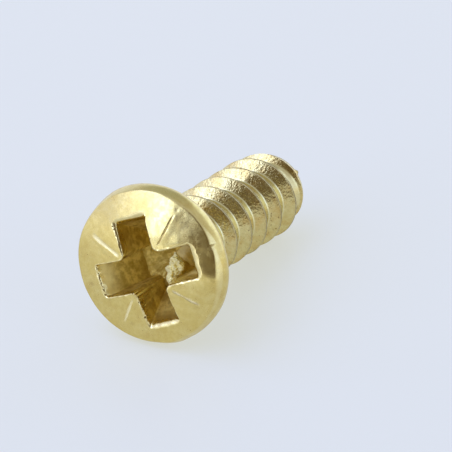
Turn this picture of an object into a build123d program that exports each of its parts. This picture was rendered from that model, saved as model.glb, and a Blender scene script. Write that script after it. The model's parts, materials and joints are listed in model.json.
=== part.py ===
from build123d import *
from math import asin, atan2, cos, degrees, floor, hypot, radians, sin, sqrt, tan
import os

# A sheet metal screw of brass: raised countersunk head, spaced right-hand thread run out to a blunt
# end, and a cross recess of type Z with an indicator groove between each two of its wings.
# The screw is first made upright, on its own axis: Z runs from the plane of the head's front edge to
# the blunt end, and X is the side that comes to lie on top. Then it is laid down as it comes to rest,
# on the rounding of its head and on the crest of its last full turn, so that its axis slopes down from
# head to end. Lengths are in millimetres, angles in degrees.

# Head
front_diameter = 5.20  # of the edge of the raised face
head_diameter = 5.54  # where the side meets the seat, before that corner is rounded
head_side_length = 0.56  # from the front edge to that corner
head_side_round = 0.30
dome_rise = 0.43  # of the raised face, above the plane of the front edge
seat_angle = 90.0  # included angle of the countersunk seat
neck_radius = 0.30  # fillet from the seat into the shank

# Shank and thread
screw_length = 9.12  # from the front edge to the blunt end
core_diameter = 2.22  # at the root of the thread
thread_diameter = 2.95  # over the crests
thread_pitch = 1.10
flank_angle = 60.0  # included angle of the two flanks
crest_width = 0.07
thread_phase = 8.5  # where the crest passes the foot of the seat, about the axis from the top
run_out = 0.82  # length over which the crests sink at the end
end_diameter = 2.40  # of the blunt end, before its edge is rounded
end_round = 0.30

# Cross recess, type Z
recess_span = 3.44  # across opposite wings, in the plane of the front edge
wing_width = 1.12
wing_draft = 2.0  # slope of the wings' side walls
wing_end_slope = 26.5  # slope of the wings' end walls
recess_depth = 1.50  # to the foot of the wings
recess_floor_angle = 130.0  # included angle of the pointed floor
corner_facet = 0.09  # depth of the flat across each inner corner
recess_turn = -25.0  # turn of the first wing about the axis, from the top
recess_shift_x = -0.08  # of the recess and its grooves off the axis, towards the top
recess_shift_y = 0.08  # and to the side

# Indicator grooves
groove_radius = 1.66  # distance of a groove's middle from the middle of the recess
groove_length = 1.05
groove_depth = 0.06
groove_angle = 85.0  # included angle of the groove's walls

# Sizes that follow from those
front_radius = front_diameter / 2
head_radius = head_diameter / 2
core_radius = core_diameter / 2
thread_radius = thread_diameter / 2
end_radius = end_diameter / 2
dome_radius = (front_radius**2 + dome_rise**2) / (2 * dome_rise)
dome_centre = dome_radius - dome_rise
seat_slope = seat_angle / 2
seat_end = head_side_length + (head_radius - core_radius) / tan(radians(seat_slope))
side_slope = degrees(atan2(head_radius - front_radius, head_side_length))
round_reach = head_side_round / cos(radians((seat_slope + side_slope) / 2))
round_lean = radians((seat_slope - side_slope) / 2)
round_radius = head_radius - round_reach * cos(round_lean)
round_centre = head_side_length - round_reach * sin(round_lean)
crest_fall = screw_length - run_out

# The ridge of the thread, on a helix from inside the seat to past the end, where it is cut off
thread_height = thread_radius - core_radius
ridge_foot = core_radius - thread_height / 2
flank_run = (thread_radius - ridge_foot) * tan(radians(flank_angle / 2))
helix_start = seat_end - thread_pitch
helix_height = screw_length - helix_start + thread_pitch / 2
over_length = screw_length + 2 * thread_pitch

with BuildPart() as ridge:
    with BuildLine() as helix:
        Helix(pitch=thread_pitch, height=helix_height, radius=core_radius, center=(0, 0, helix_start))
    with BuildSketch(Plane(origin=(0, 0, helix_start), x_dir=(1, 0, 0), z_dir=(0, -1, 0))):
        with BuildLine():
            Polyline(
                (ridge_foot, -crest_width / 2 - flank_run),
                (thread_radius, -crest_width / 2),
                (thread_radius, crest_width / 2),
                (ridge_foot, crest_width / 2 + flank_run),
                close=True,
            )
        make_face()
    sweep(path=helix.line, is_frenet=True)

# Indicator groove: a thin wheel with a V-shaped rim, which cuts a line that tapers at both ends. Its
# centre stands off the raised face, on the normal through the groove's middle
groove_rise = sqrt(dome_radius**2 - groove_radius**2)
lens_ratio = (groove_length / 2) ** 2 / (2 * groove_depth)
wheel_radius = lens_ratio * dome_radius / (dome_radius - lens_ratio)
wheel_reach = (dome_radius + wheel_radius - groove_depth) / dome_radius
wheel_x = groove_radius * wheel_reach
wheel_z = dome_centre - groove_rise * wheel_reach
rim_depth = 4 * groove_depth
rim_half_width = rim_depth * tan(radians(groove_angle / 2))

with BuildPart() as groove_wheel:
    with BuildSketch(Plane.XY):
        with BuildLine():
            Polyline(
                (0, rim_half_width),
                (wheel_radius - rim_depth, rim_half_width),
                (wheel_radius, 0),
                (wheel_radius - rim_depth, -rim_half_width),
                (0, -rim_half_width),
                close=True,
            )
        make_face()
    revolve(axis=Axis.Y)

# Planes of the recess: above the raised face, and at the foot of the wings
mouth_height = 2 * dome_rise
recess_mouth = Plane(origin=(recess_shift_x, recess_shift_y, -mouth_height))
recess_foot = Plane(origin=(recess_shift_x, recess_shift_y, recess_depth))
end_taper = tan(radians(wing_end_slope))
side_taper = tan(radians(wing_draft))
mouth_span = recess_span + 2 * mouth_height * end_taper
foot_span = recess_span - 2 * recess_depth * end_taper
mouth_width = wing_width + 2 * mouth_height * side_taper
foot_width = wing_width - 2 * recess_depth * side_taper
mouth_square = sqrt(2) * mouth_width + 2 * corner_facet
foot_square = sqrt(2) * foot_width + 2 * corner_facet
floor_radius = foot_square / 2
floor_height = floor_radius / tan(radians(recess_floor_angle / 2))

with BuildPart() as upright:
    # Head, neck and core, turned about the axis, and longer than the screw until the end is cut
    with BuildSketch(Plane.XZ) as outline:
        with BuildLine():
            RadiusArc((0, -dome_rise), (front_radius, 0), -dome_radius)
            Polyline(
                (front_radius, 0),
                (head_radius, head_side_length),
                (core_radius, seat_end),
                (core_radius, over_length),
                (0, over_length),
                (0, -dome_rise),
            )
        make_face()
        side_corner = outline.vertices().sort_by_distance((head_radius, head_side_length))[0]
        fillet(side_corner, head_side_round)
        neck_corner = outline.vertices().sort_by_distance((core_radius, seat_end))[0]
        fillet(neck_corner, neck_radius)
    revolve(axis=Axis.Z)
    add(ridge.part, rotation=(0, 0, thread_phase))

    # The crests sink along a cone to the end face
    with BuildSketch(Plane.XZ) as envelope:
        with BuildLine():
            Polyline(
                (0, -2 * dome_rise),
                (2 * head_radius, -2 * dome_rise),
                (2 * head_radius, crest_fall - run_out),
                (2 * thread_radius - end_radius, crest_fall - run_out),
                (end_radius, screw_length),
                (0, screw_length),
                close=True,
            )
        make_face()
        end_corner = envelope.vertices().sort_by_distance((end_radius, screw_length))[0]
        fillet(end_corner, end_round)
    revolve(axis=Axis.Z, mode=Mode.INTERSECT)

    # Recess: two crossing slots with sloping walls, a flat across each inner corner, a pointed floor
    for turn in (recess_turn, recess_turn + 90):
        with BuildSketch(recess_mouth):
            Rectangle(mouth_span, mouth_width, rotation=turn)
        with BuildSketch(recess_foot):
            Rectangle(foot_span, foot_width, rotation=turn)
        loft(mode=Mode.SUBTRACT)
    with BuildSketch(recess_mouth):
        Rectangle(mouth_square, mouth_square, rotation=recess_turn + 45)
    with BuildSketch(recess_foot):
        Rectangle(foot_square, foot_square, rotation=recess_turn + 45)
    loft(mode=Mode.SUBTRACT)
    with Locations((recess_shift_x, recess_shift_y, recess_depth)):
        Cone(
            bottom_radius=floor_radius,
            top_radius=0,
            height=floor_height,
            align=(Align.CENTER, Align.CENTER, Align.MIN),
            mode=Mode.SUBTRACT,
        )

    with Locations((recess_shift_x, recess_shift_y, wheel_z)):
        with PolarLocations(wheel_x, 4, start_angle=recess_turn + 45):
            add(groove_wheel.part, mode=Mode.SUBTRACT)

# The crest passes under the screw once a turn, and sinks at the end
first_low_pass = helix_start + thread_pitch * ((180 - thread_phase) % 360) / 360 + crest_width / 2
low_pass_count = floor((screw_length - first_low_pass) / thread_pitch) + 1
low_passes = [first_low_pass + turn * thread_pitch for turn in range(low_pass_count)]
sink_rate = (thread_radius - end_radius) / run_out


def crest_radius(z):
    return thread_radius - sink_rate * max(0, z - crest_fall)


def slope_on(z):
    """The slope of a line that touches the rounding of the head and the crest's pass at z."""
    run = z - round_centre
    drop = round_radius - crest_radius(z)
    return atan2(drop, run) + asin(head_side_round / hypot(run, drop))


# The floor touches the pass that it meets first
rest_pass = min(low_passes, key=slope_on)
rest_slope = slope_on(rest_pass)
front_height = crest_radius(rest_pass) * cos(rest_slope) + rest_pass * sin(rest_slope)

# The origin is the middle of the footprint: from the foremost point of the raised face to the
# hindmost point of the end's rim
foremost = dome_centre * cos(rest_slope) - dome_radius
rim_height = end_radius - end_round
hindmost = (screw_length - end_round) * cos(rest_slope) + rim_height * sin(rest_slope) + end_round
lying = Plane(
    origin=(-(foremost + hindmost) / 2, 0, front_height),
    x_dir=(sin(rest_slope), 0, cos(rest_slope)),
    z_dir=(cos(rest_slope), 0, -sin(rest_slope)),
)

with BuildPart() as screw:
    with Locations(lying):
        add(upright.part)

screw.part.label = "screw"
os.makedirs("parts", exist_ok=True)
export_step(screw.part, "parts/screw.step")
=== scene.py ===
import json
from math import atan2, cos, degrees, pi, radians, sin, sqrt, tan

import bpy
import numpy as np
from mathutils import Matrix, Vector


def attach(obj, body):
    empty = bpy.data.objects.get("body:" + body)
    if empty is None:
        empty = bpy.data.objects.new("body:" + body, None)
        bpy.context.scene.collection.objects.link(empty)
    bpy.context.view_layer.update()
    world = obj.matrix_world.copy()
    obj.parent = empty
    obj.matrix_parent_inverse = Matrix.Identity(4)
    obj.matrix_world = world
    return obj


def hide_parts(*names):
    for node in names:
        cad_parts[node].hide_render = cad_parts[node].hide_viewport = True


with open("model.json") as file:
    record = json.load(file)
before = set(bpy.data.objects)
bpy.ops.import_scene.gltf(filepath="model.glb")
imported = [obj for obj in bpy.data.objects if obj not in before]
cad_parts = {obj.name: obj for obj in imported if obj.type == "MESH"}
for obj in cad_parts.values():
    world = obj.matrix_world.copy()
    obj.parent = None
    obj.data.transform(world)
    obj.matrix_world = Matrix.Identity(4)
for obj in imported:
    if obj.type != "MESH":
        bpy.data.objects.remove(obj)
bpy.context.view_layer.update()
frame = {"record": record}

# A brass sheet metal screw that lies on a pale floor. One closed mesh has the head with its recess,
# the seat and the threaded shank, and a flake of torn metal stands in the recess. Both are worked out
# in the screw's own frame, in millimetres: Z runs from the plane of the head's front edge to the blunt
# end, so a larger Z is deeper in the head, and X is the side that lies on top.

# ---------------------------------------------------------------- sizes, as in the CAD
FRONT_RADIUS = 2.60
HEAD_RADIUS = 2.77
SIDE_LENGTH = 0.56
DOME_RISE = 0.43
CORE_RADIUS = 1.11
THREAD_RADIUS = 1.475
PITCH = 1.10
CREST_WIDTH = 0.07
LENGTH = 9.12
RUN_OUT = 0.82
END_RADIUS = 1.20
END_ROUND = 0.30
THREAD_PHASE = radians(8.5)
RECESS_SPAN = 3.44
WING_WIDTH = 1.12
END_TAPER = tan(radians(26.5))
SIDE_TAPER = tan(radians(2.0))
RECESS_DEPTH = 1.50
FLOOR_TAPER = 1 / tan(radians(65.0))
FACET = 0.09
RECESS_TURN = radians(-25.0)
RECESS_SHIFT = np.array([-0.08, 0.08])

DOME_RADIUS = (FRONT_RADIUS**2 + DOME_RISE**2) / (2 * DOME_RISE)
SEAT_END = SIDE_LENGTH + HEAD_RADIUS - CORE_RADIUS
HELIX_START = SEAT_END - PITCH
CREST_FALL = LENGTH - RUN_OUT
SINK_RATE = (THREAD_RADIUS - END_RADIUS) / RUN_OUT

# ---------------------------------------------------------------- place in the row frame
mounts = {m["name"]: m for m in frame["record"]["mounts"]}
front_centre = np.array(mounts["drive_recess"]["pos_m"])
axis_z = np.array(mounts["thread"]["axis"])
axis_z = axis_z / np.linalg.norm(axis_z)
axis_x = np.array([-axis_z[2], 0.0, axis_z[0]])
axis_y = np.cross(axis_z, axis_x)


def placed(points):
    """Points of the screw's own frame, in millimetres, as points of the row frame, in metres."""
    return front_centre + 0.001 * (points @ np.array([axis_x, axis_y, axis_z]))


# ---------------------------------------------------------------- soft steps and noise
def smooth(t):
    return t * t * (3 - 2 * t)


def step(low, high, value):
    """0 below low, 1 above high, and soft between them."""
    return smooth(np.clip((value - low) / (high - low), 0, 1))


def bump(angle, middle, width):
    """1 at the middle angle, falling to 0 at the width, all in degrees."""
    gap = np.abs((angle - middle + 180) % 360 - 180)
    return smooth(np.clip(1 - gap / width, 0, 1))


def lattice_value(ix, iy, iz, seed):
    """A fixed number from -1 to 1 for a lattice point, from a hash of its place and the seed."""
    n = (ix * 374761393 + iy * 668265263 + iz * 2147483647 + seed * 1274126177) & 0xFFFFFFFF
    n = ((n ^ (n >> 13)) * 1274126177) & 0xFFFFFFFF
    n = ((n ^ (n >> 15)) * 2246822519) & 0xFFFFFFFF
    return ((n ^ (n >> 16)) & 0xFFFFFF) / 8388607.5 - 1


def noise(points, seed=0):
    """Smooth value noise from -1 to 1 at points of any shape (..., 3)."""
    cell = np.floor(points).astype(np.int64)
    part = smooth(points - cell)
    total = np.zeros(points.shape[:-1])
    for dx in (0, 1):
        for dy in (0, 1):
            for dz in (0, 1):
                weight = np.abs(1 - dx - part[..., 0])
                weight = weight * np.abs(1 - dy - part[..., 1])
                weight = weight * np.abs(1 - dz - part[..., 2])
                corner = lattice_value(cell[..., 0] + dx, cell[..., 1] + dy, cell[..., 2] + dz, seed)
                total += weight * corner
    return total


def rough(points, scale, octaves, seed):
    """Noise with this many cells in a millimetre, and finer octaves of it added."""
    total = np.zeros(points.shape[:-1])
    for octave in range(octaves):
        total += noise(points * scale * 2**octave + 17.3 * octave, seed + octave) / 2**octave
    return total


def ripple(points, wavelength, seed, count=24):
    """An even, rounded relief of about this wavelength, from about -2 to 2."""
    draw = np.random.RandomState(seed)
    ways = draw.normal(size=(count, 3))
    lengths = np.linalg.norm(ways, axis=1)
    ways *= (draw.uniform(0.7, 1.4, count) * 2 * pi / wavelength / lengths)[:, None]
    shifts = draw.uniform(0, 2 * pi, count)
    return np.sin(points @ ways.T + shifts).sum(-1) * sqrt(2 / count)


# ---------------------------------------------------------------- curves
def curve(t, start, pull, stop):
    """A point of the curve that leaves start towards pull and arrives from it at stop."""
    return (1 - t) ** 2 * start + 2 * t * (1 - t) * pull + t * t * stop


def circle(turn, radius, z):
    """A point for each turn, at a radius and a level: one for all, or one for each."""
    level = np.broadcast_to(np.asarray(z, float), turn.shape)
    return np.stack([np.cos(turn) * radius, np.sin(turn) * radius, level], 1)


# ---------------------------------------------------------------- outline of the recess
# The head is a stack of rings with the same columns of points. A quarter of them is a sector, which
# runs from the middle of one wing's end, along that wing's side, round the inner corner and along the
# next wing's side, to the middle of the next wing's end.
COLUMNS = 528
SECTOR = COLUMNS // 4
TOP_TO_RIGHT, RIGHT_TO_BOTTOM, BOTTOM_TO_LEFT, LEFT_TO_TOP = range(4)
column_turn = RECESS_TURN + 2 * pi * np.arange(COLUMNS) / COLUMNS
outward = np.stack([np.cos(column_turn), np.sin(column_turn)], 1)
column_share = np.arange(SECTOR) / SECTOR

# How far along a sector its corners lie, so that the columns are shared out evenly
CORNER_WALK = np.array([0, 0.56, 1.67, 1.85, 2.96, 3.52])
# A level above the dome, from which the drafted walls are worked out
WALL_TOP = -0.6
# Softness of the corners, in columns
WALL_SOFT = 1.2
MOUTH_SOFT = 1.3
LIP_SOFT = 2.0


def cross(half_span, half_width):
    """The recess's outline at one level: one point per column, evenly spaced along it."""
    cut = sqrt(2) * (sqrt(2) * half_width + FACET) - half_width
    corners = np.array(
        [
            (half_span, 0),
            (half_span, half_width),
            (cut, half_width),
            (half_width, cut),
            (half_width, half_span),
            (0, half_span),
        ]
    )
    reach = CORNER_WALK / CORNER_WALK[-1]
    x = np.interp(column_share, reach, corners[:, 0])
    y = np.interp(column_share, reach, corners[:, 1])
    quarter = np.stack([x, y], 1)
    points = []
    for k in range(4):
        c, s = cos(RECESS_TURN + k * pi / 2), sin(RECESS_TURN + k * pi / 2)
        points.append(quarter @ np.array([[c, s], [-s, c]]))
    return np.concatenate(points)


def around(values, width):
    """Values smoothed along the columns, as rounded corners need."""
    reach = int(3 * width) + 1
    kernel = np.exp(-0.5 * (np.arange(-reach, reach + 1) / width) ** 2)
    kernel /= kernel.sum()
    out = np.zeros_like(values)
    for shift, weight in zip(range(-reach, reach + 1), kernel):
        out += weight * np.roll(values, shift, axis=0)
    return out


def dome(xy):
    """The raised face's level at a place, below which is metal."""
    r2 = np.minimum((xy**2).sum(-1), FRONT_RADIUS**2)
    return DOME_RADIUS - DOME_RISE - np.sqrt(DOME_RADIUS**2 - r2)


def recess_ring(level):
    """The recess's wall at a level: a level per column, or one for all."""
    level = np.broadcast_to(np.asarray(level, float), (COLUMNS,))
    outlines = []
    for z in (WALL_TOP, RECESS_DEPTH):
        half_span = RECESS_SPAN / 2 - z * END_TAPER
        half_width = WING_WIDTH / 2 - z * SIDE_TAPER
        outlines.append(cross(half_span, half_width))
    share = ((level - WALL_TOP) / (RECESS_DEPTH - WALL_TOP))[:, None]
    return outlines[0] * (1 - share) + outlines[1] * share + RECESS_SHIFT


def by_sector(places, rows):
    """A value per column, from a row of values at these shares of each sector."""
    return np.concatenate([np.interp(column_share, places, row) for row in rows])


outline = cross(RECESS_SPAN / 2, WING_WIDTH / 2)
tangent = np.roll(outline, -1, 0) - np.roll(outline, 1, 0)
wall_out = np.stack([tangent[:, 1], -tangent[:, 0]], 1)
wall_out = around(wall_out / np.linalg.norm(wall_out, axis=1)[:, None], LIP_SOFT)

# The mouth is where the wall meets the raised face, found step by step
mouth_level = np.zeros(COLUMNS)
for _ in range(6):
    mouth_level = dome(recess_ring(mouth_level))
mouth = around(recess_ring(mouth_level), MOUTH_SOFT)

# Width of the worn lip along the mouth, and how crumbled it is: a row for each sector, in order
LIP_PLACES = (0.0, 0.14, 0.18, 0.32, 0.46, 0.5, 0.54, 0.68, 0.82, 0.86, 1.0)
LIP_WIDTHS = (
    (0.13, 0.19, 0.03, 0.03, 0.05, 0.11, 0.09, 0.07, 0.09, 0.19, 0.20),
    (0.20, 0.17, 0.06, 0.06, 0.06, 0.06, 0.04, 0.03, 0.04, 0.12, 0.13),
    (0.14, 0.12, 0.08, 0.07, 0.06, 0.05, 0.04, 0.04, 0.05, 0.08, 0.08),
    (0.08, 0.08, 0.04, 0.04, 0.04, 0.05, 0.05, 0.08, 0.15, 0.13, 0.12),
)
CRUMBLE_PLACES = (0.0, 0.4, 0.6, 1.0)
CRUMBLE = ((0.1, 0.3, 0.3, 0.1), (0.1, 0.5, 0.4, 0.1), (0.1, 1.0, 1.2, 0.6), (0.6, 0.4, 0.3, 0.0))
LIP_WAVES = 9
LIP_UNEVENNESS = 0.22
crumble = by_sector(CRUMBLE_PLACES, CRUMBLE)
lip_noise = rough(circle(column_turn, LIP_WAVES, 0.0), 1.0, 2, 3)
lip = around(by_sector(LIP_PLACES, LIP_WIDTHS), LIP_SOFT)
lip = lip * (1 + LIP_UNEVENNESS * (0.3 + crumble) * lip_noise)

# ---------------------------------------------------------------- rings of the head
FLOOR_SHARES = (0.04, 0.12, 0.20, 0.28, 0.36, 0.44, 0.52, 0.60, 0.68, 0.76, 0.84, 0.92, 0.97)
WALL_STEPS = 14
WALL_SPACING = 0.9
FACE_STEPS = 36
FACE_EVENNESS = 0.35

rings = []
ring_marks = []


def add_ring(xy, z, recess=0.0, edge=0.0):
    """Adds a ring, and says how far it belongs to the recess and to a worn edge."""
    level = np.broadcast_to(np.asarray(z, float), (COLUMNS,))
    rings.append(np.concatenate([xy, level[:, None]], 1))
    ring_marks.append((recess, edge))


# Floor of the recess, from the middle out, then the walls up to the lip
floor_radius = WING_WIDTH / sqrt(2) + FACET - RECESS_DEPTH * SIDE_TAPER * sqrt(2)
FLOOR_BLUNTING = 0.08


def floor_level(xy):
    """The pointed floor's level at a place."""
    r = np.linalg.norm(xy - RECESS_SHIFT, axis=-1)
    return RECESS_DEPTH + np.maximum(0, floor_radius - r) * FLOOR_TAPER


foot = around(recess_ring(RECESS_DEPTH), WALL_SOFT)
for share in FLOOR_SHARES:
    xy = RECESS_SHIFT + (foot - RECESS_SHIFT) * share
    add_ring(xy, floor_level(xy), recess=1.0)
lip_level = mouth_level + lip
for k in range(WALL_STEPS + 1):
    share = (k / WALL_STEPS) ** WALL_SPACING
    level = RECESS_DEPTH + (lip_level - RECESS_DEPTH) * share
    add_ring(around(recess_ring(level), WALL_SOFT), level, recess=1.0)

# The rounded lip
lip_inside = around(recess_ring(lip_level), MOUTH_SOFT)
lip_outside = mouth + wall_out * lip[:, None]
for t in (0.25, 0.5, 0.75):
    z = curve(t, lip_level, mouth_level, dome(lip_outside))
    add_ring(curve(t, lip_inside, mouth, lip_outside), z, recess=0.5, edge=1.0)

# The raised face, out to the worn front edge, whose width changes round the head
BEVEL_ANGLES = (0, 44, 59.5, 60.5, 70, 78, 95, 112, 250, 360)
BEVEL_WIDTHS = (0.05, 0.04, 0.20, 0.05, 0.12, 0.20, 0.16, 0.07, 0.08, 0.05)
BEVEL_INWARDS = 0.4
bevel = np.interp(np.degrees(column_turn) % 360, BEVEL_ANGLES, BEVEL_WIDTHS)
rim_radius = FRONT_RADIUS - BEVEL_INWARDS * bevel
rim = outward * rim_radius[:, None]
for k in range(FACE_STEPS + 1):
    t = k / FACE_STEPS
    share = FACE_EVENNESS * t + (1 - FACE_EVENNESS) * smooth(t)
    xy = lip_outside + (rim - lip_outside) * share
    add_ring(xy, dome(xy), edge=0.3 if k == 0 else 0.0)

# The worn front edge is a curve that is drawn out towards a sharp one by this share. Behind it the
# side swells: its slope falls from the front edge to the rounded corner before the seat.
RIM_PULL = 0.4
SIDE_TO = 0.33
SLOPE_FRONT = radians(22)
SLOPE_BACK = radians(12)


def side_radius(z):
    """Radius of the head's side at a level."""
    lean = SLOPE_FRONT + (SLOPE_BACK - SLOPE_FRONT) * z / SIDE_TO / 2
    return FRONT_RADIUS + z * np.tan(lean)


rim_level = dome(rim)
bevel_radius = side_radius(bevel)
pull_radius = RIM_PULL * FRONT_RADIUS + (1 - RIM_PULL) / 2 * (rim_radius + bevel_radius)
pull_level = (1 - RIM_PULL) / 2 * (rim_level + bevel)
for t in (0.5, 1.0):
    r = curve(t, rim_radius, pull_radius, bevel_radius)
    add_ring(outward * r[:, None], curve(t, rim_level, pull_level, bevel), edge=0.6)
for t in (0.25, 0.5, 0.75, 1.0):
    z = bevel + (SIDE_TO - bevel) * t
    add_ring(outward * side_radius(z)[:, None], z)
corner_reach = HEAD_RADIUS + SIDE_LENGTH - SIDE_TO - side_radius(SIDE_TO)
corner_round = corner_reach / (sqrt(2) - cos(SLOPE_BACK) + sin(SLOPE_BACK))
corner_radius = side_radius(SIDE_TO) - corner_round * cos(SLOPE_BACK)
corner_level = SIDE_TO + corner_round * sin(SLOPE_BACK)
for t in (0.2, 0.4, 0.6, 0.8, 1.0):
    a = -SLOPE_BACK + (pi / 4 + SLOPE_BACK) * t
    add_ring(outward * (corner_radius + corner_round * cos(a)), corner_level + corner_round * sin(a))

# ---------------------------------------------------------------- wear of the head
# Each of these has one entry per point of the head. An angle is in degrees.
head = np.concatenate(rings)
recess_mark, edge_mark = np.repeat(ring_marks, COLUMNS, axis=0).T
sector = np.tile(np.arange(COLUMNS) // SECTOR, len(rings))
along_sector = np.tile(column_share, 4 * len(rings))
angle = np.degrees(np.arctan2(head[:, 1], head[:, 0]))
radius = np.linalg.norm(head[:, :2], axis=1)
from_recess = head[:, :2] - RECESS_SHIFT
recess_angle = np.degrees(np.arctan2(from_recess[:, 1], from_recess[:, 0]))
recess_radius = np.linalg.norm(from_recess, axis=1)
on_face = (recess_mark < 0.01) & (head[:, 2] < 0.0) & (radius < FRONT_RADIUS)
in_recess = (recess_mark > 0.9) * 1.0
bare_metal_and_glint = np.zeros(len(head))
sooty = np.zeros(len(head))

# Indicator grooves, one pressed into the face in each sector: depth, half width, start and stop from
# the recess's middle, how far a bruise beside the groove stands up (on its far side or, below 0, its
# near one), a painted highlight along the groove, soot, and soot at the outer end
GROOVES = (
    (0.015, 0.024, 1.08, 2.30, 0.006, 0.0, 0.6, 0.0),
    (0.028, 0.042, 1.06, 2.15, 0.008, 1.0, 0.0, 0.8),
    (0.018, 0.036, 1.10, 2.15, 0.006, 1.0, 0.0, 0.0),
    (0.018, 0.080, 1.02, 2.30, -0.006, 0.8, 0.0, 0.0),
)
GROOVE_START_FADE = 0.12
GROOVE_STOP_FADE = 0.22
BRUISE_REACH = 0.28
wander = 1 + 0.45 * noise(head * 4.0, 15)
for k, (depth, half, start, stop, bruise, painted_glint, soot, end_soot) in enumerate(GROOVES):
    half = half * wander
    turned = np.radians(recess_angle - (degrees(RECESS_TURN) + 45 + 90 * k))
    along = recess_radius * np.cos(turned)
    aside = recess_radius * np.sin(turned)
    ends = step(start, start + GROOVE_START_FADE, along) * (1 - step(stop - GROOVE_STOP_FADE, stop, along))
    ends = ends * (np.cos(turned) > 0.8)
    cut = depth * np.clip(1 - np.abs(aside) / (half * (0.45 + 0.55 * ends)), 0, 1) * ends
    bruised = aside * np.sign(bruise)
    swell = step(0, half, bruised) * (1 - step(half, half + BRUISE_REACH, bruised))
    head[:, 2] += np.where(on_face, cut - np.abs(bruise) * swell * ends, 0)
    in_groove = on_face * ends * (1 - step(half * 0.6, half * 1.2, np.abs(aside)))
    # The groove's pale mark is a painted highlight
    bare_metal_and_glint = np.maximum(bare_metal_and_glint, painted_glint * in_groove)
    sooty = np.maximum(sooty, soot * in_groove)
    sooty = np.maximum(sooty, end_soot * in_groove * step(1.85, 2.05, along))

# Small dents and sooty pits in the raised face: place, radius, depth, soot
DENTS = (
    (0.42, -1.83, 0.07, 0.0080, 0.0),
    (0.18, -1.49, 0.06, 0.0060, 0.2),
    (-0.56, -1.91, 0.09, 0.0080, 0.0),
    (-1.41, -1.23, 0.08, 0.0072, 0.3),
    (-0.46, -1.72, 0.07, 0.0100, 1.0),
    (-1.05, -1.95, 0.08, 0.0080, 0.8),
    (2.22, 0.93, 0.06, 0.0032, 0.0),
    (2.12, 1.18, 0.05, 0.0032, 0.0),
    (-1.70, 0.70, 0.06, 0.0060, 0.6),
    (-2.05, -0.35, 0.07, 0.0072, 0.5),
    (-0.90, 1.95, 0.06, 0.0060, 0.4),
)
for x, y, reach, depth, soot in DENTS:
    near = np.exp(-((head[:, 0] - x) ** 2 + (head[:, 1] - y) ** 2) / reach**2)
    head[:, 2] += np.where(on_face, depth * near, 0)
    sooty = np.maximum(sooty, on_face * soot * near)

# Soft unevenness of the raised face: height, wavelength, seed
FACE_RIPPLES = ((0.005, 1.6, 11), (0.0007, 0.42, 12))
uneven = sum(height * ripple(head, wavelength, seed) for height, wavelength, seed in FACE_RIPPLES)
head[:, 2] += np.where(on_face, uneven, 0)

# The face swells beside the right wing
SWELLING_X = 0.08
SWELLING_Y = 2.35
SWELLING_REACH = 0.6
SWELLING_HEIGHT = 0.08
swelling = np.exp(-((head[:, 0] - SWELLING_X) ** 2 + (head[:, 1] - SWELLING_Y) ** 2) / SWELLING_REACH**2)
head[:, 2] -= SWELLING_HEIGHT * swelling * (1 - step(0.0, 0.4, head[:, 2]))

# The lip is crumbled
CRUMB_HEIGHT = 0.020
crumbling = edge_mark * (radius < 2.3) * (0.15 + np.tile(crumble, len(rings)))
crumbs = rough(head, 8.0, 3, 21)[:, None] * CRUMB_HEIGHT * crumbling[:, None]
head += crumbs * np.array([1, 1, -1])

# The walls are lumpy, fanned into folds by the bottom wing's left side and ridged in the top wing
LUMP_HEIGHT = 0.006
FOLD_HEIGHT = 0.030
RIDGE_HEIGHT = 0.014
lumps = rough(head, 2.6, 3, 41)
fan = (sector == BOTTOM_TO_LEFT) * step(0.22, 0.34, along_sector) * (1 - step(0.56, 0.62, along_sector))
folds = fan * rough(np.stack([along_sector * 60, 0 * along_sector, head[:, 2] * 0.5], 1), 1.0, 2, 31)
top_wing = (sector == TOP_TO_RIGHT) * (1 - step(0.30, 0.42, along_sector))
top_wing = top_wing + (sector == LEFT_TO_TOP) * step(0.56, 0.66, along_sector)
ridges = rough(np.stack([along_sector * 5 + sector * 7, 0 * along_sector, head[:, 2] * 9], 1), 1.0, 2, 33)
ridges = top_wing * step(0.35, 0.8, head[:, 2]) * ridges
push = in_recess * (LUMP_HEIGHT * lumps + FOLD_HEIGHT * folds + RIDGE_HEIGHT * ridges)
head[:, :2] += push[:, None] * from_recess / recess_radius[:, None]

# The corner between the top and right wings is burnished pale, down to the floor, and the rest of
# the floor is torn
corner = (sector == TOP_TO_RIGHT) * step(0.36, 0.44, along_sector) * (1 - step(0.58, 0.68, along_sector))
burnished = corner * in_recess * step(0.25, 0.55, head[:, 2]) * step(0.25, 0.45, recess_radius)
tearing = in_recess * step(1.25, 1.5, head[:, 2]) * (1 - 0.7 * burnished)
head[:, 2] -= tearing * (0.02 + 0.05 * np.abs(rough(head, 5.5, 4, 51)))

# Bare bright metal on the bevel at the right
bared = (edge_mark == 0.6) * (bump(angle, 56, 9) + bump(angle, 69, 10))
bare_metal_and_glint = np.maximum(bare_metal_and_glint, np.clip(bared, 0, 1) * 0.12)

# The rim is uneven, with a thin fold on one side, a nick and a flat stretch
FOLD_OUT = 0.045
UNEVEN_OUT = 0.010
NICK_IN = 0.022
NICK_LEVEL = 0.02
NICK_REACH = 0.12
FLAT_IN = 0.045
fold = bump(angle, 156, 14) * step(140, 146, angle)
nick = bump(angle, 61, 5) * (1 - step(0, NICK_REACH, np.abs(head[:, 2] - NICK_LEVEL)))
outwards = FOLD_OUT * fold + UNEVEN_OUT * rough(head * np.array([1, 1, 2.5]), 1.3, 3, 61)
outwards -= NICK_IN * nick + FLAT_IN * bump(angle, 303, 28)
on_rim = step(2.45, 2.6, radius) * (head[:, 2] > -0.12)
head[:, :2] *= (1 + on_rim * outwards / np.maximum(radius, 1))[:, None]

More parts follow.
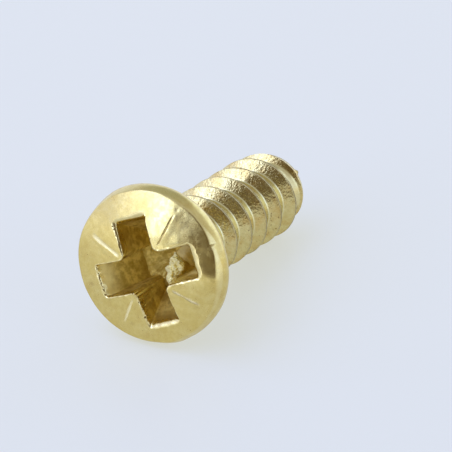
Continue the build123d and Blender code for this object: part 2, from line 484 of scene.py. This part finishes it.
# The right wing's end is torn below its mouth, and the left wing's end at its mouth
right_end = (sector == TOP_TO_RIGHT) * step(0.80, 0.86, along_sector)
right_end = right_end + (sector == RIGHT_TO_BOTTOM) * (1 - step(0.30, 0.38, along_sector))
right_end = right_end * in_recess * step(0.3, 0.6, head[:, 2])
left_end = (sector == BOTTOM_TO_LEFT) * step(0.80, 0.86, along_sector)
left_end = left_end + (sector == LEFT_TO_TOP) * (1 - step(0.12, 0.18, along_sector))
left_end = left_end * in_recess * (1 - step(0.15, 0.6, head[:, 2]))

# ---------------------------------------------------------------- shape of the shank
SHANK_COLUMNS = COLUMNS // 2
shank_turn = column_turn[::2]
SEAT_FILLET = 0.16
ROOT_FILLET = 0.045
CREST_ROUND = 0.02
CREST_SWAY = 0.012
CREST_WAVES = 0.010
CREST_CHIPS = 0.014
RUN_OUT_FILL = 0.10
END_THICKENING = 0.07


def ridge_height(gap):
    """Radius of the thread at an axial distance from the crest's middle, with 60 degrees between flanks."""
    return THREAD_RADIUS - sqrt(3) * np.maximum(np.abs(gap) - CREST_WIDTH / 2, 0)


def soft_max(a, b, width):
    """The larger of two values, with the corner between them rounded over this width."""
    share = np.clip(0.5 + 0.5 * (a - b) / width, 0, 1)
    return b * (1 - share) + a * share + width * share * (1 - share)


# The corner between run-out cone and end face is rounded
cone_angle = atan2(THREAD_RADIUS - END_RADIUS, RUN_OUT)
end_centre_z = LENGTH - END_ROUND
end_centre_r = END_RADIUS + SINK_RATE * END_ROUND - END_ROUND / cos(cone_angle)


def envelope(z):
    """The largest radius that the run-out and the rounded end leave."""
    cone = THREAD_RADIUS - SINK_RATE * np.maximum(0, z - CREST_FALL)
    past = np.clip(z - end_centre_z, 0, END_ROUND)
    arc = end_centre_r + np.sqrt(np.maximum(END_ROUND**2 - past**2, 0))
    touch = end_centre_z + END_ROUND * sin(cone_angle)
    return np.where(z > touch, arc, cone)


def shank_shape(turn, z):
    """Radius, and how far a place belongs to the crest, the flank towards the head and the other one."""
    walk = (z - HELIX_START) / PITCH - (turn - THREAD_PHASE) / (2 * pi)
    gap = (walk - np.round(walk)) * PITCH
    spin = np.stack([np.cos(turn) * 1.6, np.sin(turn) * 1.6, z * 0.9], -1)
    chips = np.maximum(0, noise(spin * 6.0, 73) - 0.35)
    worn = CREST_WAVES * noise(spin * 3.1, 72) - CREST_CHIPS * chips
    ridge = ridge_height(gap + CREST_SWAY * noise(spin * 1.7, 71)) + worn
    # The last turn fills up to the envelope, and the blank is a little thicker at the very end
    ridge = ridge + RUN_OUT_FILL * step(LENGTH - 1.2, LENGTH - 0.6, z)
    seat_radius = HEAD_RADIUS - (z - SIDE_LENGTH)
    body = soft_max(seat_radius, np.full_like(z, CORE_RADIUS), SEAT_FILLET)
    body = body + END_THICKENING * step(LENGTH - 0.75, LENGTH - 0.35, z)
    radius = -soft_max(-soft_max(ridge, body, ROOT_FILLET), -envelope(z), CREST_ROUND)
    # The crest mark also carries a painted shade line in the material
    crest = np.exp(-(((gap - 0.02) / 0.045) ** 2)) * (ridge > body)
    flank = step(0.0, 0.03, ridge - body) * (1 - crest)
    return radius, crest, flank * (gap < 0), flank * (gap > 0)


# ---------------------------------------------------------------- lattice of the shank
# Its lines follow the thread. These are their distances from a crest's middle, over one pitch: the
# shares of a flank's length that they lie beyond the crest's edge, and the rest spread over the root.
FLANK_RUN = 0.211
HEAD_SIDE_SHARES = (0.0, 0.07, 0.18, 0.3, 0.42, 0.54, 0.66, 0.78, 0.9, 1.0, 1.12, 1.3)
TIP_SIDE_SHARES = (0.0, 0.12, 0.32, 0.54, 0.76, 0.94, 1.1, 1.3)
ROOT_SPACES = 6
head_side = [CREST_WIDTH / 2 + FLANK_RUN * f for f in HEAD_SIDE_SHARES]
tip_side = [CREST_WIDTH / 2 + FLANK_RUN * f for f in TIP_SIDE_SHARES]
root_from, root_to = tip_side[-1], PITCH - head_side[-1]
root = [root_from + (root_to - root_from) * k / ROOT_SPACES for k in range(1, ROOT_SPACES)]
lines = sorted([-gap for gap in head_side] + [0.0] + tip_side + root)

# The lattice starts in the seat and stops on the rounded end, and its lines keep clear of both. A
# column's own first and last points have numbers beyond those of all lines.
SHANK_START = 1.62
SHANK_STOP = end_centre_z + END_ROUND * sin(radians(62))
CLEAR = 0.02
SPARE_LAPS = 3
FIRST, LAST = -(10**9), 10**9


def line_level(number, turn):
    """Where a line of the lattice, numbered over all laps, crosses the column at this turn."""
    lap, within = divmod(number, len(lines))
    return HELIX_START + PITCH * (lap + (turn - THREAD_PHASE) / (2 * pi)) + lines[within]


first_lap = int((SHANK_START - HELIX_START) / PITCH - SPARE_LAPS)
last_lap = int((SHANK_STOP - HELIX_START) / PITCH + SPARE_LAPS)
shank_lines = []
shank_starts = []
shank_places = []
for turn in shank_turn:
    levels = {k: line_level(k, turn) for k in range(first_lap * len(lines), last_lap * len(lines))}
    levels = {k: z for k, z in levels.items() if SHANK_START + CLEAR < z < SHANK_STOP - CLEAR}
    shank_starts.append(len(shank_places))
    shank_lines.append([FIRST, *levels, LAST])
    shank_places += [(turn, z) for z in (SHANK_START, *levels.values(), SHANK_STOP)]
shank_stops = [start + len(numbers) - 1 for start, numbers in zip(shank_starts, shank_lines)]
shank_turns, shank_z = np.array(shank_places).T
shank_r, crest, head_flank, tip_flank = shank_shape(shank_turns, shank_z)

# Pebbled and faintly streaked flanks, and a burr on the edge of the blunt end
FLANK_PEBBLE = 0.0022
FLANK_STREAK = 0.0015
SHANK_WAVES = 0.003
BURR_HEIGHT = 0.13
surface = circle(shank_turns, shank_r, shank_z)
pebble = 0.4 * ripple(surface, 0.30, 80) + 0.55 * ripple(surface, 0.12, 81)
streak = noise(circle(shank_turns, 14, shank_z * 2.5), 82)
burr = bump(np.degrees(shank_turns), 47, 6) * step(LENGTH - 0.34, LENGTH - 0.16, shank_z)
shank_r = shank_r + BURR_HEIGHT * burr * (0.7 + 0.3 * rough(surface, 9.0, 2, 84))
relief = (head_flank + tip_flank) * (FLANK_PEBBLE * pebble + FLANK_STREAK * streak)
relief = relief + SHANK_WAVES * noise(surface * 1.5, 83)
shank_r = shank_r + relief * step(SHANK_START + 0.3, SHANK_START + 0.6, shank_z)
surface = circle(shank_turns, shank_r, shank_z)
# Painted reflection: the root and the flank towards the tip, fading near the seat and the end, take a paler
# colour that stands in for bright reflected light there
painted_root_reflection = 1 - np.clip(head_flank + crest, 0, 1)
painted_root_reflection = painted_root_reflection * (1 - 0.8 * step(LENGTH - 1.3, LENGTH - 0.8, shank_z))
painted_root_reflection = painted_root_reflection * step(2.0, 2.3, shank_z)

# ---------------------------------------------------------------- the screw's mesh
stacks = []
faces = []


def add_points(points):
    """Adds points to the mesh, and gives the number of the first."""
    start = sum(len(stack) for stack in stacks)
    stacks.append(points)
    return start


def add_rings(rings):
    """Adds rings and the faces between them, and gives a function for the number of a point."""
    columns = len(rings[0])
    start = add_points(np.concatenate(rings))

    def number(i, j):
        return start + i * columns + j % columns

    for i in range(len(rings) - 1):
        for j in range(columns):
            faces.append((number(i, j), number(i, j + 1), number(i + 1, j + 1), number(i + 1, j)))
    return number


def stitch(left, right, left_start, right_start):
    """Faces between two columns of line numbers: square where both have the next line."""
    a = b = 0
    while a < len(left) - 1:
        here = (left_start + a, right_start + b)
        next_left, next_right = left[a + 1], right[b + 1]
        if next_left == next_right:
            faces.append((*here, right_start + b + 1, left_start + a + 1))
        elif next_left < next_right:
            faces.append((*here, left_start + a + 1))
        else:
            faces.append((*here, right_start + b + 1))
        a += next_left <= next_right
        b += next_right <= next_left


on_head = add_rings(head.reshape(len(rings), COLUMNS, 3))
floor_middle = add_points(np.array([[*RECESS_SHIFT, floor_level(RECESS_SHIFT) - FLOOR_BLUNTING]]))
for j in range(COLUMNS):
    faces.append((floor_middle, on_head(0, j + 1), on_head(0, j)))

# The seat has half as many columns
SEAT_LEVELS = (0.86, 1.12, 1.38)
on_seat = add_rings([circle(shank_turn, HEAD_RADIUS - (z - SIDE_LENGTH), z) for z in SEAT_LEVELS])
for j in range(SHANK_COLUMNS):
    a, b, c = (on_head(len(rings) - 1, 2 * j + k) for k in range(3))
    faces.append((a, b, on_seat(0, j)))
    faces.append((b, on_seat(0, j + 1), on_seat(0, j)))
    faces.append((b, c, on_seat(0, j + 1)))

# The first column is also the last one's neighbour, and there its lines are a lap behind
shank_start = add_points(surface)
last_seat = len(SEAT_LEVELS) - 1
for j in range(SHANK_COLUMNS):
    following = (j + 1) % SHANK_COLUMNS
    left_start = shank_start + shank_starts[j]
    right_start = shank_start + shank_starts[following]
    faces.append((on_seat(last_seat, j), on_seat(last_seat, j + 1), right_start, left_start))
    right = shank_lines[following]
    if following == 0:
        right = [FIRST, *(number - len(lines) for number in right[1:-1]), LAST]
    stitch(shank_lines[j], right, left_start, right_start)

# The rounded end, then the end face, which is a little hollow and uneven
END_HOLLOW = 0.02
END_MIDDLE = 0.03
END_UNEVENNESS = 0.012
end_r = shank_r[shank_stops]
cap_rings = []
for a in (70, 80, 90):
    r = np.minimum(end_r, end_centre_r + END_ROUND * cos(radians(a)))
    cap_rings.append(circle(shank_turn, r, end_centre_z + END_ROUND * sin(radians(a))))
for share in (0.85, 0.6, 0.3, 0.08):
    ring = circle(shank_turn, np.minimum(end_r, end_centre_r) * share, LENGTH)
    ring[:, 2] -= END_HOLLOW * (1 - share) + END_UNEVENNESS * rough(ring, 2.5, 2, 91)
    cap_rings.append(ring)
on_cap = add_rings(cap_rings)
end_middle = add_points(np.array([[0, 0, LENGTH - END_MIDDLE]]))
last_cap = len(cap_rings) - 1
for j in range(SHANK_COLUMNS):
    edge = (shank_start + shank_stops[k % SHANK_COLUMNS] for k in (j, j + 1))
    faces.append((*edge, on_cap(0, j + 1), on_cap(0, j)))
    faces.append((on_cap(last_cap, j), on_cap(last_cap, j + 1), end_middle))
screw_points = np.concatenate(stacks)


# ---------------------------------------------------------------- materials
class Nodes:
    """Short names for the few node kinds that the materials use."""

    def __init__(self, tree):
        self.tree = tree
        tree.nodes.clear()

    def put(self, socket, value):
        """Links a socket, or sets its value. A colour has three numbers."""
        if isinstance(value, bpy.types.NodeSocket):
            self.tree.links.new(value, socket)
        elif socket.type == "RGBA":
            socket.default_value = (*value, 1)
        else:
            socket.default_value = value

    def add(self, kind, inputs=None, **settings):
        node = self.tree.nodes.new(kind)
        for key, value in settings.items():
            setattr(node, key, value)
        for key, value in (inputs or {}).items():
            self.put(node.inputs[key], value)
        return node

    def mark(self, name):
        return self.add("ShaderNodeAttribute", attribute_name=name).outputs["Fac"]

    def math(self, operation, a, b):
        return self.add("ShaderNodeMath", {0: a, 1: b}, operation=operation).outputs[0]

    def times(self, a, b):
        return self.math("MULTIPLY", a, b)

    def larger(self, a, b):
        return self.math("MAXIMUM", a, b)

    def total(self, first, *others):
        for value in others:
            first = self.math("ADD", first, value)
        return first

    def noise(self, vector, scale, detail=3.0, roughness=0.55):
        inputs = {"Vector": vector, "Scale": scale, "Detail": detail, "Roughness": roughness}
        return self.add("ShaderNodeTexNoise", inputs).outputs["Fac"]

    def span(self, value, low, high, to_low=0.0, to_high=1.0):
        """The value's range from low to high as another range, without going past its ends."""
        inputs = {0: value, 1: low, 2: high, 3: to_low, 4: to_high}
        return self.add("ShaderNodeMapRange", inputs).outputs[0]

    def mix(self, share, a, b):
        return self.add("ShaderNodeMix", {0: share, 6: a, 7: b}, data_type="RGBA").outputs[2]


def brass_material():
    """Worn brass, with some light and shade painted into its colour. Its marks are numbers per point, and
    its noise scales are per millimetre.
    """
    material = bpy.data.materials.new("worn_brass_and_painted_light")
    material.use_nodes = True
    n = Nodes(material.node_tree)
    own = n.add("ShaderNodeAttribute", attribute_name="own").outputs["Vector"]
    deep, bare_metal_and_glint, flank, crest = n.mark("deep"), n.mark("bare_metal_and_glint"), n.mark("flank"), n.mark("crest")
    soot, torn, lip, root, shank = (n.mark(name) for name in ("soot", "torn", "lip", "root", "shank"))
    cloud = n.noise(own, 1.1, 3.0)
    stain = n.noise(own, 2.6, 4.0, 0.6)
    mottle = n.noise(own, 5.5, 4.0, 0.65)
    fine = n.noise(own, 9.0, 4.0, 0.65)
    peel = n.noise(own, 13.0, 2.0, 0.5)
    specks = n.noise(own, 14.0, 2.0, 0.5)
    grain = n.noise(own, 34.0, 3.0, 0.6)
    smears = n.times(n.span(fine, 0.5, 0.75, 0.0, 0.3), n.total(0.6, shank))
    torn_colour = n.mix(grain, (0.98, 0.83, 0.31), (1.0, 0.95, 0.53))

    # Clouded metal, then one layer on another: where it shows, and its colour
    colour = n.mix(n.span(cloud, 0.35, 0.7), (0.69, 0.535, 0.165), (0.73, 0.59, 0.215))
    layers = (
        (n.times(shank, 0.85), (0.72, 0.63, 0.30)),
        (n.span(stain, 0.5, 0.72, 0.0, 0.55), (0.62, 0.445, 0.13)),
        (n.span(mottle, 0.48, 0.68, 0.0, 0.4), (0.58, 0.43, 0.14)),
        (n.span(mottle, 0.50, 0.34, 0.0, 0.25), (0.80, 0.68, 0.32)),
        (smears, (0.56, 0.42, 0.13)),
        # Painted light: deeper in the recess the metal takes a lighter colour, which stands in for light
        # bouncing into it. The two layers after it are stains and mottling there.
        (n.times(deep, 0.9), (0.88, 0.71, 0.22)),
        (n.times(deep, n.span(stain, 0.44, 0.58, 0.0, 0.8)), (0.52, 0.36, 0.07)),
        (n.times(deep, n.span(mottle, 0.46, 0.62, 0.0, 0.6)), (0.50, 0.35, 0.065)),
        (n.times(flank, n.span(stain, 0.42, 0.66, 0.0, 0.5)), (0.64, 0.43, 0.14)),
        # Painted reflection: a paler colour on the root and the flank towards the tip
        (n.times(root, 0.7), (0.78, 0.73, 0.42)),
        (n.times(lip, 0.55), (0.82, 0.71, 0.36)),
        # Painted highlight: the pale colour in the grooves; on the bevel at the right it is bare worn metal
        (n.times(bare_metal_and_glint, 0.8), (0.97, 0.85, 0.44)),
        (n.times(torn, 0.9), torn_colour),
        (n.times(soot, 0.6), (0.40, 0.27, 0.09)),
        # Painted shade: a dark, dull line along each crest stands in for the shade at the crest's edge
        (n.times(crest, n.span(fine, 0.42, 0.66, 1.0, 0.5)), (0.20, 0.135, 0.045)),
        (n.times(n.span(specks, 0.67, 0.71, 0.0, 0.85), n.total(0.1, flank)), (0.22, 0.13, 0.05)),
    )
    for share, tint in layers:
        colour = n.mix(share, colour, tint)

    roughness = n.total(
        n.span(cloud, 0.3, 0.7, 0.17, 0.23),
        n.span(mottle, 0.4, 0.7, -0.02, 0.09),
        n.times(smears, 0.2),
        n.times(deep, 0.36),
        n.times(n.larger(bare_metal_and_glint, torn), 0.3),
        n.times(crest, 0.35),
        n.times(flank, -0.015),
    )
    height = n.total(n.times(peel, 0.8), n.times(grain, 0.25))
    strength = n.total(0.05, n.times(n.larger(deep, torn), 0.5), n.times(flank, 0.85))
    relief = n.add("ShaderNodeBump", {"Strength": strength, "Distance": 0.00002, "Height": height})
    dull = n.larger(crest, n.larger(n.times(torn, 0.75), n.times(bare_metal_and_glint, 0.35)))
    shader = n.add(
        "ShaderNodeBsdfPrincipled",
        {
            "Base Color": colour,
            "Roughness": roughness,
            "Metallic": n.math("SUBTRACT", 1.0, dull),
            "Specular IOR Level": 0.1,
            "Normal": relief.outputs[0],
        },
    )
    n.add("ShaderNodeOutputMaterial", {"Surface": shader.outputs[0]})
    return material


def floor_material():
    """Pale paper. Seen by the camera and in the metal, it is a glow with a share of its own shading."""
    material = bpy.data.materials.new("pale_floor")
    material.use_nodes = True
    n = Nodes(material.node_tree)
    place = n.add("ShaderNodeTexCoord").outputs["Object"]
    mottle = n.noise(place, 60.0, 3.0)
    paper_colour = n.mix(mottle, (0.78, 0.795, 0.82), (0.80, 0.815, 0.84))
    paper = n.add("ShaderNodeBsdfDiffuse", {"Color": paper_colour})
    glow_colour = n.mix(mottle, (0.56, 0.565, 0.49), (0.57, 0.575, 0.50))
    glow = n.add("ShaderNodeEmission", {"Color": glow_colour, "Strength": 1.0})
    shaded = n.add("ShaderNodeBsdfDiffuse", {"Color": (0.15, 0.18, 0.265)})
    sheen = n.add("ShaderNodeBsdfAnisotropic", {"Color": (0.75, 0.75, 0.75), "Roughness": 0.45})
    grazing = n.add("ShaderNodeFresnel", {"IOR": 1.45}).outputs[0]
    shaded = n.add("ShaderNodeMixShader", {0: grazing, 1: shaded.outputs[0], 2: sheen.outputs[0]})
    pale = n.add("ShaderNodeAddShader", {0: glow.outputs[0], 1: shaded.outputs[0]})
    path = n.add("ShaderNodeLightPath")
    seen = n.larger(path.outputs["Is Camera Ray"], path.outputs["Is Glossy Ray"])
    seen = n.larger(seen, path.outputs["Is Transmission Ray"])
    both = n.add("ShaderNodeMixShader", {0: seen, 1: paper.outputs[0], 2: pale.outputs[0]})
    n.add("ShaderNodeOutputMaterial", {"Surface": both.outputs[0]})
    return material


brass = brass_material()


# ---------------------------------------------------------------- the pieces
def linked(name, data):
    """A new object in the scene."""
    made = bpy.data.objects.new(name, data)
    bpy.context.scene.collection.objects.link(made)
    return made


def brass_piece(name, points, polygons, marks):
    """A piece of brass from points in the screw's own frame, with a number per point for each mark."""
    mesh = bpy.data.meshes.new(name)
    mesh.from_pydata(placed(points).tolist(), [], polygons)
    mesh.validate()
    mesh.shade_smooth()
    for mark, values in marks.items():
        attribute = mesh.attributes.new(mark, "FLOAT", "POINT")
        attribute.data.foreach_set("value", values.astype(np.float32))
    own = mesh.attributes.new("own", "FLOAT_VECTOR", "POINT")
    own.data.foreach_set("vector", points.astype(np.float32).ravel())
    mesh.materials.append(brass)
    return linked(name, mesh)


def from_point(start, values):
    """A number for every point of the screw: these values from a point on, and 0 elsewhere."""
    everywhere = np.zeros(len(screw_points))
    everywhere[start : start + len(values)] = values
    return everywhere


screw_marks = {
    "deep": from_point(0, recess_mark * step(-0.2, 0.5, head[:, 2])),
    "bare_metal_and_glint": from_point(0, bare_metal_and_glint),
    "flank": from_point(shank_start, head_flank + tip_flank),
    "crest": from_point(shank_start, crest),
    "soot": from_point(0, sooty),
    "torn": from_point(0, 0.25 * burnished + 0.5 * right_end + 0.2 * left_end),
    "lip": from_point(0, np.maximum(edge_mark, np.maximum(0.9 * right_end, 0.5 * left_end))),
    "root": from_point(shank_start, painted_root_reflection),
    "shank": from_point(shank_start, np.ones(len(screw_points) - shank_start)),
}
screw = brass_piece("brass_screw", screw_points, faces, screw_marks)
screw.data.set_sharp_from_angle(angle=radians(38))
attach(screw, "root")
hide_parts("screw")

# A torn flake stands in the right wing of the recess: stations along its middle line, with their
# place, half width and half height. It is narrower at its foot, and leans with the depth.
FLAKE = np.array(
    [
        (-0.94, 0.30, 0.06, 0.18),
        (-0.85, 0.31, 0.15, 0.34),
        (-0.70, 0.32, 0.19, 0.40),
        (-0.56, 0.34, 0.17, 0.36),
        (-0.43, 0.40, 0.26, 0.40),
        (-0.22, 0.47, 0.31, 0.44),
        (-0.06, 0.48, 0.25, 0.44),
        (0.10, 0.45, 0.12, 0.40),
        (0.25, 0.40, 0.04, 0.30),
    ]
)
FLAKE_DEPTH = 0.90
FLAKE_LEAN = np.array([-0.47, -0.50])
LEAN_DEPTH = 1.15
FOOT_NARROWING = 0.6
FLAKE_RINGS = 140
FLAKE_COLUMNS = 120
ring_place = np.linspace(0, len(FLAKE) - 1, FLAKE_RINGS)
flake_x, flake_y, half_width, half_height = (
    np.interp(ring_place, range(len(FLAKE)), column) for column in FLAKE.T
)
middle_line = np.stack([flake_x, flake_y, np.full(FLAKE_RINGS, FLAKE_DEPTH)], 1)
flake_way = FLAKE[-1, :2] - FLAKE[0, :2]
flake_way = flake_way / np.linalg.norm(flake_way)
flake_turn = 2 * pi * np.arange(FLAKE_COLUMNS) / FLAKE_COLUMNS
narrowing = 1 - FOOT_NARROWING * np.maximum(0, np.sin(flake_turn))
sideways = half_width[:, None] * narrowing * np.cos(flake_turn)
downwards = half_height[:, None] * np.sin(flake_turn)
offsets = np.stack([sideways * flake_way[1], -sideways * flake_way[0], downwards], 2).reshape(-1, 3)
flake_points = np.repeat(middle_line, FLAKE_COLUMNS, axis=0) + offsets
crumbs = 0.28 * rough(flake_points, 4.5, 2, 61) + 0.20 * rough(flake_points, 13.0, 3, 62)
flake_points = np.concatenate([flake_points + crumbs[:, None] * offsets, middle_line[[0, -1]]])
flake_points[:, :2] += (flake_points[:, 2:] - LEAN_DEPTH) * FLAKE_LEAN
flake_faces = []
flake_ends = (len(flake_points) - 2, len(flake_points) - 1)
last_ring = (FLAKE_RINGS - 1) * FLAKE_COLUMNS
for j in range(FLAKE_COLUMNS):
    following = (j + 1) % FLAKE_COLUMNS
    for start in range(0, last_ring, FLAKE_COLUMNS):
        a, b = start + j, start + following
        flake_faces.append((a, b, b + FLAKE_COLUMNS, a + FLAKE_COLUMNS))
    flake_faces.append((following, j, flake_ends[0]))
    flake_faces.append((last_ring + j, last_ring + following, flake_ends[1]))
# Painted light: besides its own torn colour, the flake takes a share of the paler lip colour, which stands
# in for light that its place deep in the recess keeps from it
flake_marks = {mark: np.full(len(flake_points), value) for mark, value in (("torn", 1.0), ("lip", 0.6))}
flake = brass_piece("torn_flake", flake_points, flake_faces, flake_marks)
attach(flake, "root")

FLOOR_HALF = 1.5
floor_mesh = bpy.data.meshes.new("floor")
floor_corners = [(FLOOR_HALF * x, FLOOR_HALF * y, 0) for x, y in ((-1, -1), (1, -1), (1, 1), (-1, 1))]
floor_mesh.from_pydata(floor_corners, [], [(0, 1, 2, 3)])
floor_mesh.materials.append(floor_material())
floor = linked("floor", floor_mesh)

# ---------------------------------------------------------------- light
# Softboxes round the screw: azimuth and elevation in degrees, distance, width and height in metres,
# the radiance that shows in the metal, and the colour
SOFTBOXES = {
    "left_softbox": (152, 35, 0.50, 0.28, 0.52, 1.15, (0.54, 0.63, 1.0)),
    "bright_softbox": (162, 26, 0.48, 0.13, 0.34, 3.5, (0.47, 0.58, 1.0)),
    "top_softbox": (118, 62, 0.50, 0.46, 0.34, 2.35, (0.50, 0.595, 1.0)),
}
# The room is pale, darker higher up, with brighter and darker places: azimuth and elevation, how far
# round it a place is even and where it ends, in degrees, and the colour
ROOM_LOW = (0.92, 1.02, 1.35)
ROOM_HIGH = (0.60, 0.62, 0.72)
ROOM_PLACES = (
    (120, 15, 18, 36, (0.98, 1.06, 1.62)),
    (272, 16, 12, 28, (1.15, 1.35, 1.9)),
    (342, 12, 16, 30, (1.3, 1.55, 2.3)),
    (20, 45, 12, 28, (0.50, 0.56, 0.66)),
    (228, 50, 8, 34, (0.34, 0.31, 0.26)),
    (202, 16, 26, 42, (0.15, 0.115, 0.07)),
)


def direction(azimuth, elevation):
    """The way from the screw to a place round it."""
    a, e = radians(azimuth), radians(elevation)
    return Vector((cos(a) * cos(e), sin(a) * cos(e), sin(e)))


for name, (azimuth, elevation, distance, width, height, radiance, colour) in SOFTBOXES.items():
    lamp = bpy.data.lights.new(name, "AREA")
    lamp.shape = "RECTANGLE"
    lamp.size, lamp.size_y = width, height
    lamp.energy = radiance * pi * width * height
    lamp.color = colour
    softbox = linked(name, lamp)
    softbox.location = direction(azimuth, elevation) * distance
    softbox.rotation_euler = direction(azimuth, elevation).to_track_quat("Z", "Y").to_euler()

world = bpy.data.worlds.new("studio")
bpy.context.scene.world = world
world.use_nodes = True
n = Nodes(world.node_tree)
sky = n.add("ShaderNodeTexCoord").outputs["Generated"]
sky_height = n.add("ShaderNodeSeparateXYZ", {0: sky}).outputs[2]
room_colour = n.mix(n.span(sky_height, 0.25, 0.62), ROOM_LOW, ROOM_HIGH)
for azimuth, elevation, inner, outer, colour in ROOM_PLACES:
    inputs = {0: sky, 1: direction(azimuth, elevation)}
    nearness = n.add("ShaderNodeVectorMath", inputs, operation="DOT_PRODUCT").outputs["Value"]
    share = n.span(nearness, cos(radians(outer)), cos(radians(inner)))
    room_colour = n.mix(share, room_colour, colour)
background = n.add("ShaderNodeBackground", {"Color": room_colour, "Strength": 1.0})
n.add("ShaderNodeOutputWorld", {"Surface": background.outputs[0]})

# ---------------------------------------------------------------- camera
# Where it stands, in degrees and metres, and how far right of the head's front and above it, as the
# camera sees them, the middle of the view lies
CAMERA_AZIMUTH = 207.483
CAMERA_ELEVATION = 29.3097
CAMERA_DISTANCE = 0.1625
VIEW_RIGHT = 0.0025594
VIEW_UP = 0.0013386
camera_data = bpy.data.cameras.new("camera")
camera_data.sensor_width = 36.0
camera_data.lens = 395.44
camera_data.clip_start = 0.01
camera_data.clip_end = 10.0
camera = linked("camera", camera_data)
facing = direction(CAMERA_AZIMUTH, CAMERA_ELEVATION).to_track_quat("Z", "Y").to_matrix()
to_right, up, back = facing.col
spot = Vector(front_centre) + to_right * VIEW_RIGHT + up * VIEW_UP + back * CAMERA_DISTANCE
camera.matrix_world = Matrix.Translation(spot) @ facing.to_4x4()
bpy.context.scene.camera = camera

bpy.context.scene.view_settings.view_transform = "Standard"
